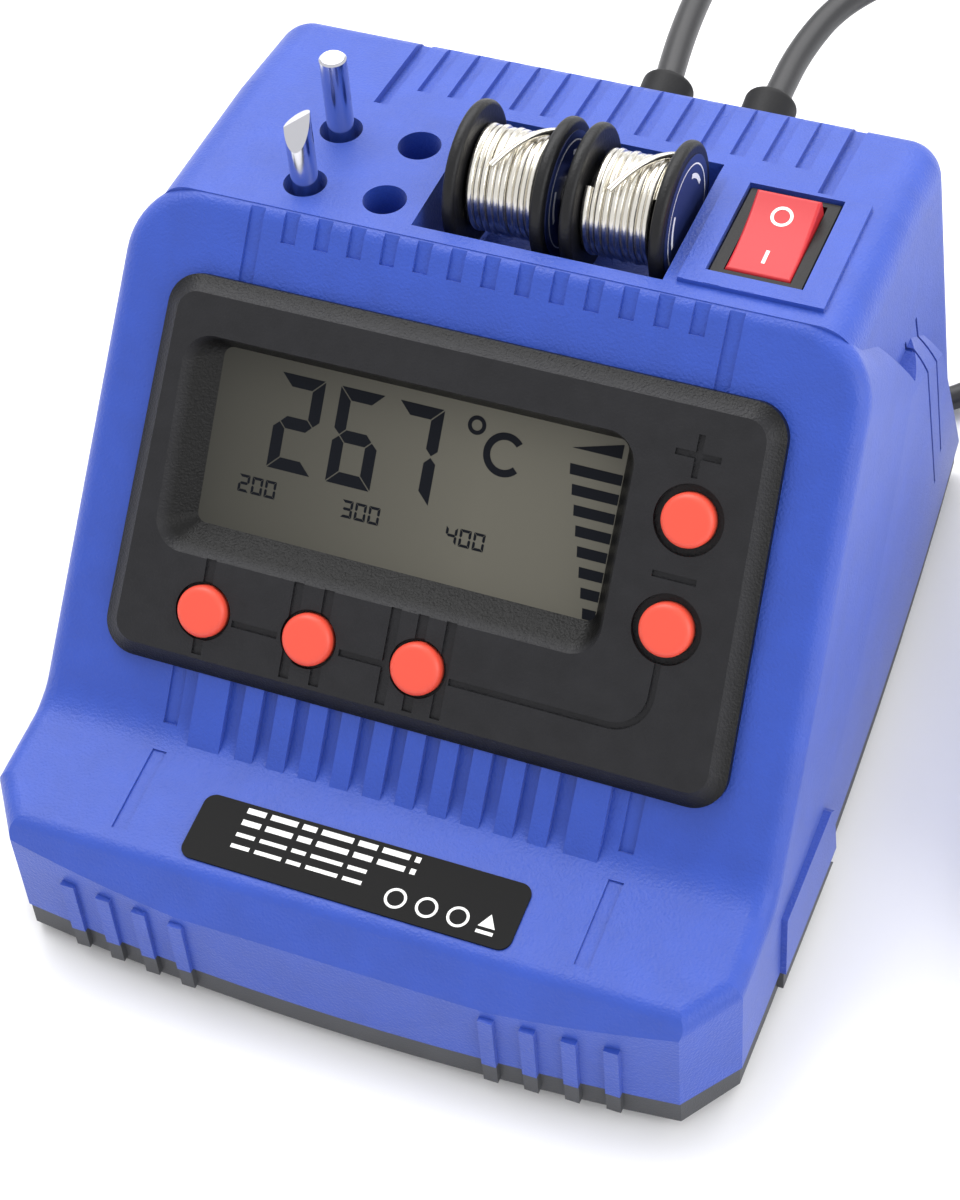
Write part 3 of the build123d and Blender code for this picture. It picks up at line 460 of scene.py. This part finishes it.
def loose_end(x0, start_x, end_x, start_a, end_a, lift):
    """A strand that leaves the winding and crosses over the turns."""
    points = []
    for k in range(25):
        t = k / 24
        a = math.radians(start_a + (end_a - start_a) * t)
        r = WIND_R + 1.25 + lift * t * t
        x = x0 + start_x + (end_x - start_x) * t
        points.append(at(x, SPOOL_Y + r * math.cos(a), SPOOL_Z + r * math.sin(a)))
    return points


def solder(side, phase):
    bright = surface(f"solder_{side}", (0.80, 0.77, 0.70), 0.26, metal=1.0, grain=0.1, grain_mm=0.6)
    x0 = SPOOL_X[side]
    wound = line_piece(f"winding_{side}", winding_points(x0, 10, phase), WIRE_R * MM, bright)
    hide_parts(f"solder_{side}")
    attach(wound, f"reel_{side}")
    end = line_piece(f"loose_end_{side}", loose_end(x0, 13.2, 6.6, 60, 128, 0.8), WIRE_R * MM, bright)
    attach(end, f"reel_{side}")


# ---------------------------------------------------------------- cords
def coil_points(centre, start_deg, way, turns, slots, steps=16):
    """Points of a coil's turns. Each turn has its own radius and height, and eases into the next."""
    points = []
    for k in range(int(turns * steps) + 1):
        t = k / steps
        turn = min(int(t), len(slots) - 1)
        r, z = slots[turn]
        if turn + 1 < len(slots):
            ease = max(0.0, (t - turn - 0.7) / 0.3)
            r += (slots[turn + 1][0] - r) * ease
            z += (slots[turn + 1][1] - z) * ease
        a = math.radians(start_deg + way * 360 * t)
        points.append((centre[0] + r * math.cos(a), centre[1] + r * math.sin(a), z))
    return points


def cord_curve(name, points, diameter, made):
    curve = bpy.data.curves.new(name, "CURVE")
    curve.dimensions = "3D"
    curve.bevel_depth = diameter / 2 * MM
    curve.bevel_resolution = 6
    curve.resolution_u = 10
    curve.use_fill_caps = True
    spline = curve.splines.new("NURBS")
    spline.points.add(len(points) - 1)
    for point, p in zip(spline.points, points):
        point.co = (*at(*p), 1)
    spline.order_u = 3
    spline.use_endpoint_u = True
    curve.materials.append(made)
    piece = bpy.data.objects.new(name, curve)
    bpy.context.scene.collection.objects.link(piece)
    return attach(piece, "station")


def coil_tie(name, centre, angle_deg, top, made):
    """A flat strap round the coil's turns."""
    a = math.radians(angle_deg)
    inner, outer = COIL_MID_R - 7.4, COIL_MID_R + 7.4
    section = [(inner, 0.5), (outer, 0.5), (outer, top), (inner, top)]
    curve = bpy.data.curves.new(name, "CURVE")
    curve.dimensions = "3D"
    curve.extrude = 3.0 * MM
    curve.bevel_depth = 0.35 * MM
    spline = curve.splines.new("POLY")
    spline.points.add(len(section) - 1)
    spline.use_cyclic_u = True
    for point, (r, z) in zip(spline.points, section):
        point.co = (r * MM, z * MM, 0, 1)
    curve.materials.append(made)
    piece = bpy.data.objects.new(name, curve)
    out = Vector((math.cos(a), math.sin(a), 0))
    turn = Matrix((out, Vector((0, 0, 1)), out.cross(Vector((0, 0, 1))))).transposed().to_4x4()
    piece.matrix_world = Matrix.Translation(at(centre[0], centre[1], 0)) @ turn
    bpy.context.scene.collection.objects.link(piece)
    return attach(piece, "station")


def add_cords():
    jacket = surface("cable_jacket", (0.016, 0.016, 0.018), 0.42, grain=0.15, grain_mm=0.8)
    outer, mid, inner = COIL_MID_R + LAY_PITCH, COIL_MID_R, COIL_MID_R - LAY_PITCH
    low, up, top = 2.35, 6.95, 11.5
    slots = [(outer, low), (mid, low), (inner, low), (inner, up),
             (inner, top), (mid, top), (mid, up), (outer, up)]
    coil = coil_points(MAINS_COIL, -90, -1, 7.03, slots)
    mains = cord_curve("mains_cord", MAINS_ROUTE + coil + MAINS_TAIL, MAINS_D, jacket)
    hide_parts("mains_cord_tube", "mains_cord_coil", "mains_cord_tail")
    tie = coil_tie("mains_tie", MAINS_COIL, 90, 14.1, jacket)
    low, up = 2.45, 7.3
    slots = [(outer, low), (mid, low), (inner, low), (inner, up), (mid, up), (outer, up)]
    coil = coil_points(IRON_COIL, 182, 1, 5.02, slots)
    iron = cord_curve("iron_cord", IRON_ROUTE + coil + IRON_TAIL, IRON_D, jacket)
    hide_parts("iron_cord_tube", "iron_cord_coil", "iron_cord_tail")
    tie = coil_tie("iron_tie", IRON_COIL, 90, 9.9, jacket)


# ---------------------------------------------------------------- assembly
bpy.context.scene.view_settings.view_transform = "Standard"
add_camera()
add_world()
add_area("key", (-0.5, 0.25, 1.15), (0, 0, 0.05), (0.7, 0.7), 9.0)
add_area("back", (0.0, 1.05, 1.15), (0, 0, 0.05), (1.5, 0.9), 13.0)
add_area("side", (0.95, -0.15, 0.5), (0, 0, 0.05), (0.8, 0.6), 5.0)
add_floor()
dress_nodes()
display_marks()
plate_marks()
switch_marks()
for side, phase in (("left", 0.6), ("right", 2.2)):
    reel_marks(side)
    solder(side, phase)
add_cords()
